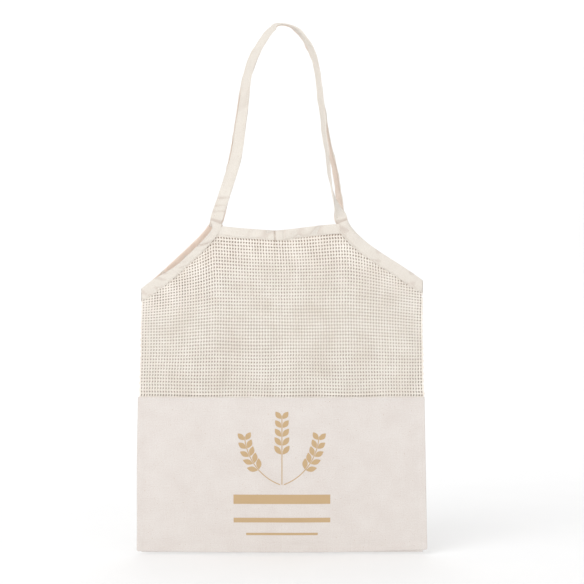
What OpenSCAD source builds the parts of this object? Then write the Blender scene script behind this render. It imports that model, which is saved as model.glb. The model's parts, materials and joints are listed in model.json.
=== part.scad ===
// Mesh produce bag: a flat cotton tote with a square net top, a calico bottom and two tape handles.
// Frame: the bag hangs upright, +Z up, +X to the right, front towards -Y.
// The origin is the hook seat, midway between the undersides of the two handle loops.

/* [Bag] */
// Width across the bottom hem
hem_w = 374; // [366:2:384]
// Width between the side seams where the armholes end
shoulder_w = 362; // [356:2:366]
// Width over the outer edges of the strap roots
mouth_w = 176; // [170:2:182]
// Drop from the strap roots to the bottom hem
hem_drop = 428; // [416:2:440]
// Drop from the strap roots to the waist seam
waist_drop = 228; // [222:2:236]
// Drop from the strap roots to the lowest point of an armhole
armhole_drop = 84; // [80:1:88]
// Sag of the middle of the mouth edge below its ends
mouth_dip = 6.5; // [4:0.5:8]
// How far each side stands out at the middle of the mouth
belly = 14; // [12:1:18]

/* [Cloth and tape] */
// Thickness of the cotton net
net_t = 1.0; // [0.8:0.1:1.0]
// Thickness of the calico
calico_t = 0.8; // [0.6:0.1:0.8]
// Width of the folded tape of the handles and armholes
tape_w = 16; // [14:1:18]
// Width of the folded tape along the mouth
mouth_tape_w = 12.5; // [11:0.5:14]
// Thickness of one ply of binding tape
ply_t = 0.6; // [0.4:0.1:0.7]
// Thickness of the folded and stitched handle tape
handle_t = 1.6; // [1.2:0.1:1.8]
// Width of the seam allowances inside the bag
allowance_w = 10; // [8:1:11]
// Diameter of the sewing thread
thread_d = 0.4; // [0.3:0.05:0.5]

/* [Handles] */
// Height of each handle loop above its strap roots
handle_rise = 250; // [240:2:260]
// Half width of a handle loop where its crown meets its legs
crown_x = 47; // [44:1:50]
// Depth of the crown of a handle loop
crown_h = 75; // [70:1:80]

/* [Print] */
// Height of the leaf emblem printed on the front
emblem_h = 92; // [80:2:96]
// Pairs of leaves on each sprig of the emblem
leaf_pairs = 5; // [3:1:6]

/* [Hidden] */

// Heights, measured from the hook seat
z_root = -handle_rise;
z_hem = z_root - hem_drop;
z_waist = z_root - waist_drop;
z_shoulder = z_root - armhole_drop;

// Half widths
x_root = mouth_w / 2;
x_shoulder = shoulder_w / 2;
x_hem = hem_w / 2;
x_strap = x_root - tape_w / 2;

seam_half = 1.6;    // half depth of the bag along its side and bottom seams
cloth_gap = 0.15;   // clearance between layers of cloth
fold_gap = 0.3;     // clearance of a handle and of the bag from the fold line between them
edge_inset = 1.0;   // how far the net's cut edge sits inside the fold of its binding
mouth_t = 0.12;     // place on the armhole curve where the mouth edge starts
mouth_short = tape_w - 1;   // how much shorter the mouth binding is than the mouth, each side, at its top
mouth_slant = 0.48; // lean of each end of the mouth binding, along its length over down its width
stitch_inset = 2.5; // distance of a stitch row from the edge of its tape
overlock_w = 0.8;   // width of the overlock thread along a raw edge
seam_ply = 1.2;     // thickness of the waist allowance
ink_t = 0.15;       // thickness of the printed ink
ink_gap = 0.05;     // clearance between ink or thread and the cloth it lies on

slot_n = net_t / 2 + cloth_gap;
bind_n = slot_n + ply_t;

panel_cols = 26;
side_rows = 12;
armhole_rows = 9;
canvas_rows = 14;
armhole_steps = 14;
loop_steps = 26;
strip_steps = 4;
turn_step = 45;
leaf_steps = 5;

// Armhole edge, from a strap root to the side seam
armhole_curve = [
    [x_root, z_root - fold_gap],
    [x_root + 5, z_root - 20],
    [x_shoulder - 41, z_root - armhole_drop + 32],
    [x_shoulder, z_shoulder]
];

// One half of a handle loop, from the crown to a strap root
crown_curve = [
    [0, handle_t / 2],
    [0.47 * crown_x, handle_t / 2],
    [0.87 * crown_x, -0.37 * crown_h],
    [crown_x, -crown_h]
];
leg_curve = [
    [crown_x, -crown_h],
    [crown_x + 5, -crown_h - 40],
    [x_strap - 17, z_root + 58],
    [x_strap, z_root + fold_gap]
];
crown_share = 0.34;     // share of the half loop's length that is crown
crown_y = tape_w / 2 + cloth_gap;
twist_share = [0.2, 0.8];   // shares of the half loop's length between which the tape turns by 90 degrees
level_share = 0.1;      // share of the half loop's length over which its root comes to lie level

// The armhole binding leaves a strap root across it and meets the side seam square to it
root_turn_share = 0.15;
seam_turn_share = 0.2;

// Small helpers
function lerp(a, b, t) = a + (b - a) * t;
function clamp(v) = max(0, min(1, v));
function smooth(v) = let (c = clamp(v)) c * c * (3 - 2 * c);
function bezier(p, t) =
    pow(1 - t, 3) * p[0] + 3 * pow(1 - t, 2) * t * p[1] + 3 * (1 - t) * t * t * p[2] + t * t * t * p[3];
function bezier_way(p, t) =
    pow(1 - t, 2) * (p[1] - p[0]) + 2 * (1 - t) * t * (p[2] - p[1]) + t * t * (p[3] - p[2]);
function unit(v) = v / norm(v);

// The bag's shape: half width to the side seams, and half depth of the cloth's middle surface
function side_x(z) = lerp(x_shoulder, x_hem, clamp((z - z_shoulder) / (z_hem - z_shoulder)));
function fullness(z) = 1 - pow(1 - clamp((z - z_hem) / (z_root - z_hem)), 3);
function depth(x, z) = seam_half + belly * fullness(z) * (1 - pow(min(1, abs(x) / side_x(z)), 2));
function on_cloth(x, z, n) = [x, -(depth(x, z) + n), z];

// A closed solid from rings of points; caps lists the quads that close one end
module sweep(rings, caps = [[0, 1, 2, 3]]) {
    k = len(rings[0]);
    last = (len(rings) - 1) * k;
    sides = [
        for (i = [0 : len(rings) - 2], j = [0 : k - 1])
            let (a = i * k + j, b = i * k + (j + 1) % k, c = a + k, d = b + k)
                each [[a, b, d], [a, d, c]]
    ];
    end = [for (q = caps) each [[q[0], q[1], q[2]], [q[0], q[2], q[3]]]];
    start = [for (f = end) [f[0], f[2], f[1]]];
    far_end = [for (f = end) f + [last, last, last]];
    polyhedron(points = [for (r = rings) each r], faces = concat(sides, start, far_end), convexity = 8);
}

// A sheet of cloth over rows of [half width, height, sag of the middle]
module cloth(rows, t) {
    cols = panel_cols + 1;
    count = len(rows) * cols;
    layer = function (n) [
        for (r = rows, j = [0 : panel_cols])
            let (s = 2 * j / panel_cols - 1)
                on_cloth(s * r[0], r[1] - r[2] * (1 - s * s), n)
    ];
    at = function (i, j) i * cols + j;
    rim = concat(
        [for (j = [0 : panel_cols - 1]) [at(0, j), at(0, j + 1)]],
        [for (i = [0 : len(rows) - 2]) [at(i, panel_cols), at(i + 1, panel_cols)]],
        [for (j = [panel_cols - 1 : -1 : 0]) [at(len(rows) - 1, j + 1), at(len(rows) - 1, j)]],
        [for (i = [len(rows) - 2 : -1 : 0]) [at(i + 1, 0), at(i, 0)]]
    );
    faces = [
        for (i = [0 : len(rows) - 2], j = [0 : panel_cols - 1])
            let (a = at(i, j), b = at(i, j + 1), c = at(i + 1, j + 1), d = at(i + 1, j))
                each [[a, c, b], [a, d, c]]
    ];
    back = [for (f = faces) [f[0], f[2], f[1]] + [count, count, count]];
    edge = [for (e = rim) each [[e[0], e[1], e[1] + count], [e[0], e[1] + count, e[0] + count]]];
    points = concat(layer(t / 2), layer(-t / 2));
    polyhedron(points = points, faces = concat(faces, back, edge), convexity = 8);
}

// Binding cross sections, as [distance in from the tape's folded edge, height over the cloth]
function channel(wide) = [
    [wide, bind_n], [0, bind_n], [0, -bind_n], [wide, -bind_n],
    [wide, -slot_n], [ply_t, -slot_n], [ply_t, slot_n], [wide, slot_n]
];
channel_caps = [[0, 1, 6, 7], [1, 2, 5, 6], [2, 3, 4, 5]];
function bar(w, n, wide, high) =
    let (h = wide / 2) [[w + h, n + high], [w - h, n + high], [w - h, n], [w + h, n]];
function binding_thread(wide) = bar(wide - stitch_inset, bind_n + ink_gap, thread_d, thread_d);

// The armhole binding's own frame: along the front edge, round the side seam, and up the back edge
function armhole_turn(t) =
    let (
        way = bezier_way(armhole_curve, t),
        raw = atan2(-way.x, way.y) + 360,
        top = pow(max(0, 1 - t / root_turn_share), 2),
        bottom = pow(max(0, 1 - (1 - t) / seam_turn_share), 2)
    )
    raw * (1 - top - bottom) + 180 * top + 270 * bottom;
function armhole_at(t, w) =
    let (a = armhole_turn(t)) bezier(armhole_curve, t) + w * [cos(a), sin(a)];
function armhole_ring(t, section) =
    [for (q = section) let (p = armhole_at(t, q[0])) on_cloth(p.x, p.y, q[1])];
function turn_ring(phi, section) =
    [for (q = section) [
        x_shoulder + (seam_half + q[1]) * sin(phi),
        -(seam_half + q[1]) * cos(phi),
        z_shoulder - q[0]
    ]];
function flip_ring(ring) = [for (p = ring) [p.x, -p.y, p.z]];
module along_armhole(section, caps = [[0, 1, 2, 3]]) {
    sweep(concat(
        [for (i = [0 : armhole_steps]) armhole_ring(i / armhole_steps, section)],
        [for (phi = [turn_step : turn_step : 180 - turn_step]) turn_ring(phi, section)],
        [for (i = [armhole_steps : -1 : 0]) flip_ring(armhole_ring(i / armhole_steps, section))]
    ), caps);
}

// The mouth binding's own frame
mouth_corner = armhole_at(mouth_t, edge_inset);
function mouth_z(x) = mouth_corner.y - mouth_dip * (1 - pow(x / mouth_corner.x, 2));
module along_mouth(section, caps = [[0, 1, 2, 3]]) {
    half = x_root - mouth_short;
    sweep([
        for (i = [-armhole_steps : armhole_steps])
            [for (q = section)
                let (x = i / armhole_steps * (half + mouth_slant * q[0]))
                    on_cloth(x, mouth_z(x) + edge_inset - q[0], q[1])]
    ], caps);
}

// A handle loop: u runs from -1 at the left root, over 0 at the crown, to 1 at the right root
function loop_half(s) =
    s < crown_share ? bezier(crown_curve, s / crown_share)
    : bezier(leg_curve, (s - crown_share) / (1 - crown_share));
function loop_point(u) = let (p = loop_half(abs(u))) [u < 0 ? -p.x : p.x, p.y];
function loop_out(u) =
    let (
        way = unit(loop_point(min(1, u + 0.01)) - loop_point(max(-1, u - 0.01))),
        level = smooth(1 - (1 - abs(u)) / level_share)
    )
    unit(lerp([-way.y, way.x], [u < 0 ? -1 : 1, 0], level));
function loop_twist(u) = 90 * (1 - smooth((abs(u) - twist_share[0]) / (twist_share[1] - twist_share[0])));
function loop_ring(u, section) =
    let (
        p = loop_point(u),
        out = loop_out(u),
        a = loop_twist(u),
        c = [p.x, -lerp(crown_y, depth(x_strap, z_root), abs(u)), p.y],
        across = [out.x * cos(a), sin(a), out.y * cos(a)],
        face = [out.x * sin(a), -cos(a), out.y * sin(a)]
    )
    [for (q = section) c + q[0] * across + q[1] * face];
module along_loop(section, caps = [[0, 1, 2, 3]]) {
    sweep([for (i = [loop_steps : -1 : -loop_steps]) loop_ring(i / loop_steps, section)], caps);
}

// The handle tape's cross section has points beside its stitch rows, so that tape and thread twist alike
row_w = tape_w / 2 - stitch_inset;
row_edges = [row_w + thread_d / 2, row_w - thread_d / 2];
strap_w = [tape_w / 2, row_edges[0], row_edges[1], -row_edges[1], -row_edges[0], -tape_w / 2];
strap_last = len(strap_w) - 1;
strap_section = concat(
    [for (w = strap_w) [w, handle_t / 2]],
    [for (i = [strap_last : -1 : 0]) [strap_w[i], -handle_t / 2]]
);
strap_caps = [for (j = [0 : strap_last - 1]) [j, j + 1, 2 * strap_last - j, 2 * strap_last + 1 - j]];

// Sheets
module front_mesh_panel() {
    side = [
        for (i = [0 : side_rows])
            let (z = lerp(z_waist + cloth_gap, z_shoulder - edge_inset, i / side_rows))
                [side_x(z), z, 0]
    ];
    armhole = [
        for (i = [1 : armhole_rows])
            let (f = i / armhole_rows, p = armhole_at(lerp(1, mouth_t, f), edge_inset))
                [p.x, p.y, mouth_dip * f * f]
    ];
    color("antiquewhite") cloth(concat(side, armhole), net_t);
}
module back_mesh_panel() {
    mirror([0, 1, 0]) front_mesh_panel();
}
module front_canvas_panel() {
    rows = [
        for (i = [0 : canvas_rows])
            let (z = lerp(z_hem, z_waist - cloth_gap, i / canvas_rows))
                [side_x(z), z, 0]
    ];
    color("linen") cloth(rows, calico_t);
}
module back_canvas_panel() {
    mirror([0, 1, 0]) front_canvas_panel();
}

// Bindings: tape folded over the net's cut edges
module front_top_binding() {
    color("cornsilk") along_mouth(channel(mouth_tape_w), channel_caps);
}
module back_top_binding() {
    mirror([0, 1, 0]) front_top_binding();
}
module right_armhole_binding() {
    color("cornsilk") along_armhole(channel(tape_w), channel_caps);
}
module left_armhole_binding() {
    mirror([1, 0, 0]) right_armhole_binding();
}

// Handles
module front_handle() {
    color("cornsilk") along_loop(strap_section, strap_caps);
}
module back_handle() {
    mirror([0, 1, 0]) front_handle();
}

// Seam allowances, turned to the inside of the bag
seam_n = seam_half - net_t / 2 - cloth_gap;
module side_strip(from_edge, wide) {
    top = z_shoulder - tape_w - edge_inset;
    bottom = z_hem + allowance_w + 2 * overlock_w;
    sweep([
        for (i = [0 : strip_steps])
            let (z = lerp(top, bottom, i / strip_steps), x = side_x(z) - from_edge)
                [[x, -seam_n, z], [x, seam_n, z], [x - wide, seam_n, z], [x - wide, -seam_n, z]]
    ]);
}
module level_strip(half, z, high, near_n, far_n) {
    sweep([
        for (i = [-panel_cols / 2 : panel_cols / 2])
            let (x = half * 2 * i / panel_cols)
                [on_cloth(x, z, -near_n), on_cloth(x, z, -far_n),
                 on_cloth(x, z - high, -far_n), on_cloth(x, z - high, -near_n)]
    ]);
}
module right_side_seam() {
    color("wheat") side_strip(fold_gap, allowance_w - fold_gap);
}
module left_side_seam() {
    mirror([1, 0, 0]) right_side_seam();
}
module right_side_overlock() {
    color("ivory") side_strip(allowance_w + ink_gap, overlock_w);
}
module left_side_overlock() {
    mirror([1, 0, 0]) right_side_overlock();
}
waist_half = side_x(z_waist) - allowance_w - 2 * overlock_w;
waist_n = calico_t / 2 + cloth_gap;
module front_waist_seam() {
    color("wheat") level_strip(waist_half, z_waist - edge_inset, allowance_w, waist_n, waist_n + seam_ply);
}
module back_waist_seam() {
    mirror([0, 1, 0]) front_waist_seam();
}
module front_waist_overlock() {
    top = z_waist - edge_inset - allowance_w - ink_gap;
    color("ivory") level_strip(waist_half, top, overlock_w, waist_n, waist_n + seam_ply);
}
module back_waist_overlock() {
    mirror([0, 1, 0]) front_waist_overlock();
}
module bottom_seam() {
    half = x_hem - fold_gap;
    color("wheat") translate([-half, -seam_n, z_hem + fold_gap])
        cube([2 * half, 2 * seam_n, allowance_w - fold_gap]);
}
module bottom_overlock() {
    half = x_hem - allowance_w - 2 * overlock_w;
    color("ivory") translate([-half, -seam_n, z_hem + allowance_w + ink_gap])
        cube([2 * half, 2 * seam_n, overlock_w]);
}

// Stitch rows, as the thread that lies on the outside of the tape
module front_top_stitching() {
    color("ivory") along_mouth(binding_thread(mouth_tape_w));
}
module back_top_stitching() {
    mirror([0, 1, 0]) front_top_stitching();
}
module right_armhole_stitching() {
    color("ivory") along_armhole(binding_thread(tape_w));
}
module left_armhole_stitching() {
    mirror([1, 0, 0]) right_armhole_stitching();
}
module front_handle_stitching() {
    for (side = [-1, 1])
        color("ivory")
            along_loop(bar(side * row_w, handle_t / 2 + ink_gap, thread_d, thread_d));
}
module back_handle_stitching() {
    mirror([0, 1, 0]) front_handle_stitching();
}

// The print: a spray of three leafy sprigs over three plain bands
emblem_drop = 22;       // from the waist seam to the emblem's tip
emblem_foot = z_waist - emblem_drop - emblem_h;
stem_wide = 1.2;
stem_share = 0.97;      // the stem stops a little short of the sprig's full length
leaf_wide = 6.5;
leaf_long = [16.5, 11.25];  // length of a leaf at the foot and at the tip of a sprig
leaf_tip = 0.15;        // half width of a leaf at its ends
leaf_angle = 38;        // between a leaf and its stem
leaf_gap = 0.4;         // between a leaf and its stem's edge
leaf_from = 0.3;        // share of the sprig that is bare stem
leaf_over = 0.62;       // share of the sprig that bears leaves
side_share = 0.86;      // length of a side sprig over the middle one's
side_lean = 70;         // how far a side sprig leans out at its foot, and bends back by its tip
side_shift = 2.5;       // sideways place of a side sprig's foot
bands = [[19, 62, 12], [46, 62, 6], [64, 46, 3]];   // [drop below the emblem's foot, half length, height]

function ink_ring(x, z, across, half) =
    let (n = calico_t / 2 + ink_gap, d = half * across)
    [on_cloth(x + d.x, z + d.y, n), on_cloth(x - d.x, z - d.y, n),
     on_cloth(x - d.x, z - d.y, n + ink_t), on_cloth(x + d.x, z + d.y, n + ink_t)];
module ink_leaf(x, z, heading, long) {
    way = [cos(heading), sin(heading)];
    sweep([
        for (i = [0 : leaf_steps])
            let (f = i / leaf_steps, p = [x, z] + long * f * way)
                ink_ring(p.x, p.y, [-way.y, way.x], leaf_tip + leaf_wide / 2 * sin(180 * f))
    ]);
}
// A sprig starts lean degrees off the upright and turns by bend degrees on the way to its tip
function sprig_heading(lean, bend, f) = 90 - lean - bend * f;
function sprig_point(long, lean, bend, f) =
    let (a = sprig_heading(lean, bend, f / 2)) [cos(a), sin(a)] * long * f;
module ink_sprig(long, lean, bend, shift) {
    foot = [shift, emblem_foot];
    sweep([
        for (i = [0 : 2 * leaf_steps])
            let (
                f = stem_share * i / 2 / leaf_steps,
                p = foot + sprig_point(long, lean, bend, f),
                a = sprig_heading(lean, bend, f)
            )
            ink_ring(p.x, p.y, [-sin(a), cos(a)], stem_wide / 2)
    ]);
    for (i = [1 : leaf_pairs], side = [-1, 1]) {
        f = leaf_from + leaf_over * i / leaf_pairs;
        a = sprig_heading(lean, bend, f);
        beside = side * (stem_wide / 2 + leaf_gap) * [-sin(a), cos(a)];
        p = foot + sprig_point(long, lean, bend, f) + beside;
        ink_leaf(p.x, p.y, a + leaf_angle * side, lerp(leaf_long[0], leaf_long[1], f));
    }
}
module ink_band(z, half, high) {
    sweep([
        for (i = [-leaf_steps : leaf_steps])
            ink_ring(half * i / leaf_steps, z, [0, 1], high / 2)
    ]);
}
module front_print() {
    color("tan") {
        ink_sprig(emblem_h, 0, 0, 0);
        for (side = [-1, 1])
            ink_sprig(side_share * emblem_h, side_lean * side, -side_lean * side, side_shift * side);
        for (b = bands)
            ink_band(emblem_foot - b[0], b[1], b[2]);
    }
}

front_mesh_panel();
back_mesh_panel();
front_canvas_panel();
back_canvas_panel();
front_top_binding();
back_top_binding();
left_armhole_binding();
right_armhole_binding();
front_handle();
back_handle();
front_waist_seam();
back_waist_seam();
left_side_seam();
right_side_seam();
bottom_seam();
front_top_stitching();
back_top_stitching();
left_armhole_stitching();
right_armhole_stitching();
front_handle_stitching();
back_handle_stitching();
front_waist_overlock();
back_waist_overlock();
left_side_overlock();
right_side_overlock();
bottom_overlock();
front_print();
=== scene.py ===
"""Looks of a mesh produce bag: a flat cotton tote with a net top, a calico bottom and two tape handles.

Sizes in the surface functions are millimetres in the frame's own axes: +X right, +Z up, front towards -Y.
Every mesh is scaled to metres as it is made.
"""

import json
import math

import bpy
import numpy as np
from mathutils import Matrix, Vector


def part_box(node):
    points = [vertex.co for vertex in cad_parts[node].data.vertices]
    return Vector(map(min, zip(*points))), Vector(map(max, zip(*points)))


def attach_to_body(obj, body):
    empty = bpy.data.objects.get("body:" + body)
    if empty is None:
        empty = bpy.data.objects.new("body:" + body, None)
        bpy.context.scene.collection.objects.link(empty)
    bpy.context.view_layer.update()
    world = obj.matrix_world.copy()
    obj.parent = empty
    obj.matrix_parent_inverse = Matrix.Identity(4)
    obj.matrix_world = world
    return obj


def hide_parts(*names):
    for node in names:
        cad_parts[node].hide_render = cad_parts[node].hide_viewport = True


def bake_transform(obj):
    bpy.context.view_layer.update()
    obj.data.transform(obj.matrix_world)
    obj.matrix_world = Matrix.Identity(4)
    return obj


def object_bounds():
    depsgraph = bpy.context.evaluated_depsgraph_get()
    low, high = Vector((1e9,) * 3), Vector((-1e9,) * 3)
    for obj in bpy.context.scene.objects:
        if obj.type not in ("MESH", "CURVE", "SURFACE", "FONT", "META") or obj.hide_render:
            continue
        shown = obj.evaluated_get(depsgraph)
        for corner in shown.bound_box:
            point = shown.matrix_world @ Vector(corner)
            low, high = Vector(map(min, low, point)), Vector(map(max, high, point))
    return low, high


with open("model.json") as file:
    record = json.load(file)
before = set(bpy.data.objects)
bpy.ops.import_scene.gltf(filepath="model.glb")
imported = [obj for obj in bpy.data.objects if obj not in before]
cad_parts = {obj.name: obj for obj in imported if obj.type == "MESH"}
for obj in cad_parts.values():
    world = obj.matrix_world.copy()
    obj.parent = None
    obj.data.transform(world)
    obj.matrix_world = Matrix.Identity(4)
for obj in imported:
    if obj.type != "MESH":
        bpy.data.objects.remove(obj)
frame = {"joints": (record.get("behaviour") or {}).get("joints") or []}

MM = 0.001
CAD_LOW, CAD_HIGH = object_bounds()
RANDOM = np.random.default_rng(7)


# ---------------- places, from the frame

def box_mm(node):
    """Lowest and highest corner of a CAD node, in millimetres."""
    low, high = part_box(node)
    return np.array(low) / MM, np.array(high) / MM


CANVAS_LOW, CANVAS_HIGH = box_mm("front_canvas_panel")
ARMHOLE_LOW, ARMHOLE_HIGH = box_mm("right_armhole_binding")
FOLDS = {joint["child"]: joint for joint in frame["joints"]}

Z_HEM = CANVAS_LOW[2]
Z_WAIST = (CANVAS_HIGH[2] + box_mm("front_mesh_panel")[0][2]) / 2
Z_PRINT = box_mm("front_print")[1][2]
Z_ROOT = FOLDS["front_handle_loop"]["pos_m"][2] / MM
X_HEM = CANVAS_HIGH[0]
X_ROOT = box_mm("front_handle")[1][0]
TAPE_W = X_ROOT - ARMHOLE_LOW[0]
Z_SHOULDER = ARMHOLE_LOW[2] + TAPE_W
BIND_N = 1.25           # half thickness of a binding over its net
SEAM_HALF = 1.6         # half depth of the bag along its side and bottom seams
X_SHOULDER = ARMHOLE_HIGH[0] - SEAM_HALF - BIND_N
BELLY = 14.0            # how much further the middle of the mouth stands out
Y_CROWN = TAPE_W / 2 + 0.15
MOUTH_TAPE = 12.5       # width of the folded mouth binding
STRAP_HALF = 0.8        # half thickness of a handle
X_STRAP = X_ROOT - TAPE_W / 2
LEAN = 3.8              # how far the empty bag hangs to its left at the strap roots
MIDDLE = (CAD_LOW + CAD_HIGH) / 2
CAMERA = Vector((MIDDLE.x + 0.0129, -2.088, MIDDLE.z - 0.005))


# ---------------- small maths

def lerp(a, b, t):
    return a + (b - a) * t


def smooth(t):
    t = np.clip(t, 0, 1)
    return t * t * (3 - 2 * t)


def bump(x, centre, width):
    return np.exp(-((x - centre) / width) ** 2)


def bezier(points, t):
    t = np.asarray(t, float)[..., None]
    a, b, c, d = (np.array(p, float) for p in points)
    return (1 - t) ** 3 * a + 3 * (1 - t) ** 2 * t * b + 3 * (1 - t) * t * t * c + t ** 3 * d


def waves(a, b, seed, size, count=5):
    """Smooth noise between about -1 and 1 over two coordinates, with features of about that size."""
    draw = np.random.default_rng(seed)
    total = np.zeros(np.broadcast(a, b).shape)
    for _ in range(count):
        angle = draw.uniform(0, math.pi)
        pitch = size * draw.uniform(0.8, 1.7)
        phase = draw.uniform(0, 2 * math.pi)
        total = total + np.sin((a * math.cos(angle) + b * math.sin(angle)) * math.pi / pitch + phase)
    return total / count ** 0.5 * 0.8


# ---------------- the bag's surface

def side_x(z):
    """Half width of the bag at a height."""
    return lerp(X_SHOULDER, X_HEM, np.clip((z - Z_SHOULDER) / (Z_HEM - Z_SHOULDER), 0, 1))


def lean(z):
    """The empty bag hangs a little to its left around the strap roots."""
    below = smooth((z - Z_SHOULDER) / (Z_ROOT - Z_SHOULDER))
    above = smooth((z - Z_ROOT - 15) / 110)
    return -LEAN * below * (1 - above)


PLEAT_LEFT, PLEAT_RIGHT = -5.6, 7.5     # the two creases of the fold below the middle of the front mouth


def pleat(x, z):
    """The soft fold that runs down from the middle of the front mouth."""
    fade = smooth((z - (Z_ROOT - 85)) / 60)
    sharp = smooth((x + 6.2) / 1.5)
    back = smooth((x - 1) / 12)
    creases = 2.2 * bump(x, PLEAT_LEFT, 0.9) + 0.9 * bump(x, PLEAT_RIGHT + (z - Z_ROOT) * 0.1, 1.0)
    return fade * (2.0 * (sharp - back) - creases)


def ripple(x, z, front):
    """How far the cloth stands out from its plain shape, on the front or the back."""
    edge = 1 - np.clip(np.abs(x) / side_x(z), 0, 1) ** 4
    hem = smooth((z - Z_HEM) / 25)
    broad = waves(x, z * 0.6, 3 if front else 4, 70)
    fine = waves(x, z, 5 if front else 6, 24)
    out = edge * hem * (0.9 * broad + 0.28 * fine)
    if front:
        out = out + pleat(x, z)
    return out


def depth(x, z):
    """Half depth of the bag's plain shape."""
    full = 1 - (1 - np.clip((z - Z_HEM) / (Z_ROOT - Z_HEM), 0, 1)) ** 3
    return SEAM_HALF + BELLY * full * (1 - np.minimum(1, np.abs(x) / side_x(z)) ** 2)


def on_cloth(x, z, n, front=True):
    """Points over the cloth, n outwards from its middle."""
    out = depth(x, z) + ripple(x, z, front) + n
    return np.stack(np.broadcast_arrays(x + lean(z), -out if front else out, z), axis=-1)


# Armhole edge from a strap root to the side seam, as in the CAD; 1 is the right hand, and -1 the left
ARMHOLE = [
    (X_ROOT, Z_ROOT - 0.3),
    (X_ROOT + 5, Z_ROOT - 20),
    (X_SHOULDER - 41, Z_SHOULDER + 32),
    (X_SHOULDER, Z_SHOULDER),
]

SHOULDER_RISE = {-1: -4.5, 1: 6.0}      # the bag's shoulders hang at unequal heights
ROLLED_IN = 7.0         # how far the left front armhole edge rolls in, so that the back one shows
ROLL_SHARE = 0.39       # how fast that fades away over the width of the tape
ROLLED_OUT = 1.2        # how far the left back edge stands out


def armhole_at(t, w, front=True, hand=1):
    """A point w in from the armhole edge, drawn on the right side whichever hand it is for."""
    t = np.asarray(t, float)
    point = bezier(ARMHOLE, t)
    point[..., 1] += SHOULDER_RISE[hand] * smooth((t - 0.35) / 0.65)
    step = bezier(ARMHOLE, np.minimum(1, t + 0.004)) - bezier(ARMHOLE, np.maximum(0, t - 0.004))
    turn = np.degrees(np.arctan2(-step[..., 0], step[..., 1])) + 360
    level = np.maximum(0, 1 - (1 - t) / 0.2) ** 2
    turn = np.radians(lerp(turn, 270, level) + 6 * np.maximum(0, 1 - t / 0.15) ** 2)
    inward = np.stack([np.cos(turn), np.sin(turn)], axis=-1)
    w = np.asarray(w, float)
    if hand < 0:
        rolled = smooth(t / 0.14) * (1 - smooth((t - 0.6) / 0.36))
        w = w + rolled * (np.maximum(ROLLED_IN - ROLL_SHARE * w, 0) if front else -ROLLED_OUT)
    return point + w[..., None] * inward


EDGE_T = np.linspace(0, 1, 200)


def armhole_x(z, inset, front, hand):
    """Half width of the net at a height above the shoulder, or of the whole side below it."""
    edge = armhole_at(EDGE_T, np.full(EDGE_T.shape, inset), front, hand)
    order = np.argsort(edge[:, 1])
    above = np.interp(z, edge[order, 1], edge[order, 0])
    return np.where(z < Z_SHOULDER + SHOULDER_RISE[hand] - inset, side_x(z) - 0.7, above)


MOUTH_X, MOUTH_Z = armhole_at(np.array([0.12]), np.array([1.0]))[0]


def mouth_z(x, front=True):
    """Height of the net's top edge: a soft V, and a rounder one on the back."""
    if not front:
        return MOUTH_Z - 3.0 - 12.0 * (1 - (x / MOUTH_X) ** 2) + 0.5 * np.sin(x / 9)
    away = np.sqrt((x + 5) ** 2 + 9) / 85
    return MOUTH_Z + 1.5 - 8.8 * (1 - away) - 1.1 * smooth(-x / 60) + 0.9 * bump(x, 55, 30)


# ---------------- meshes

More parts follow.
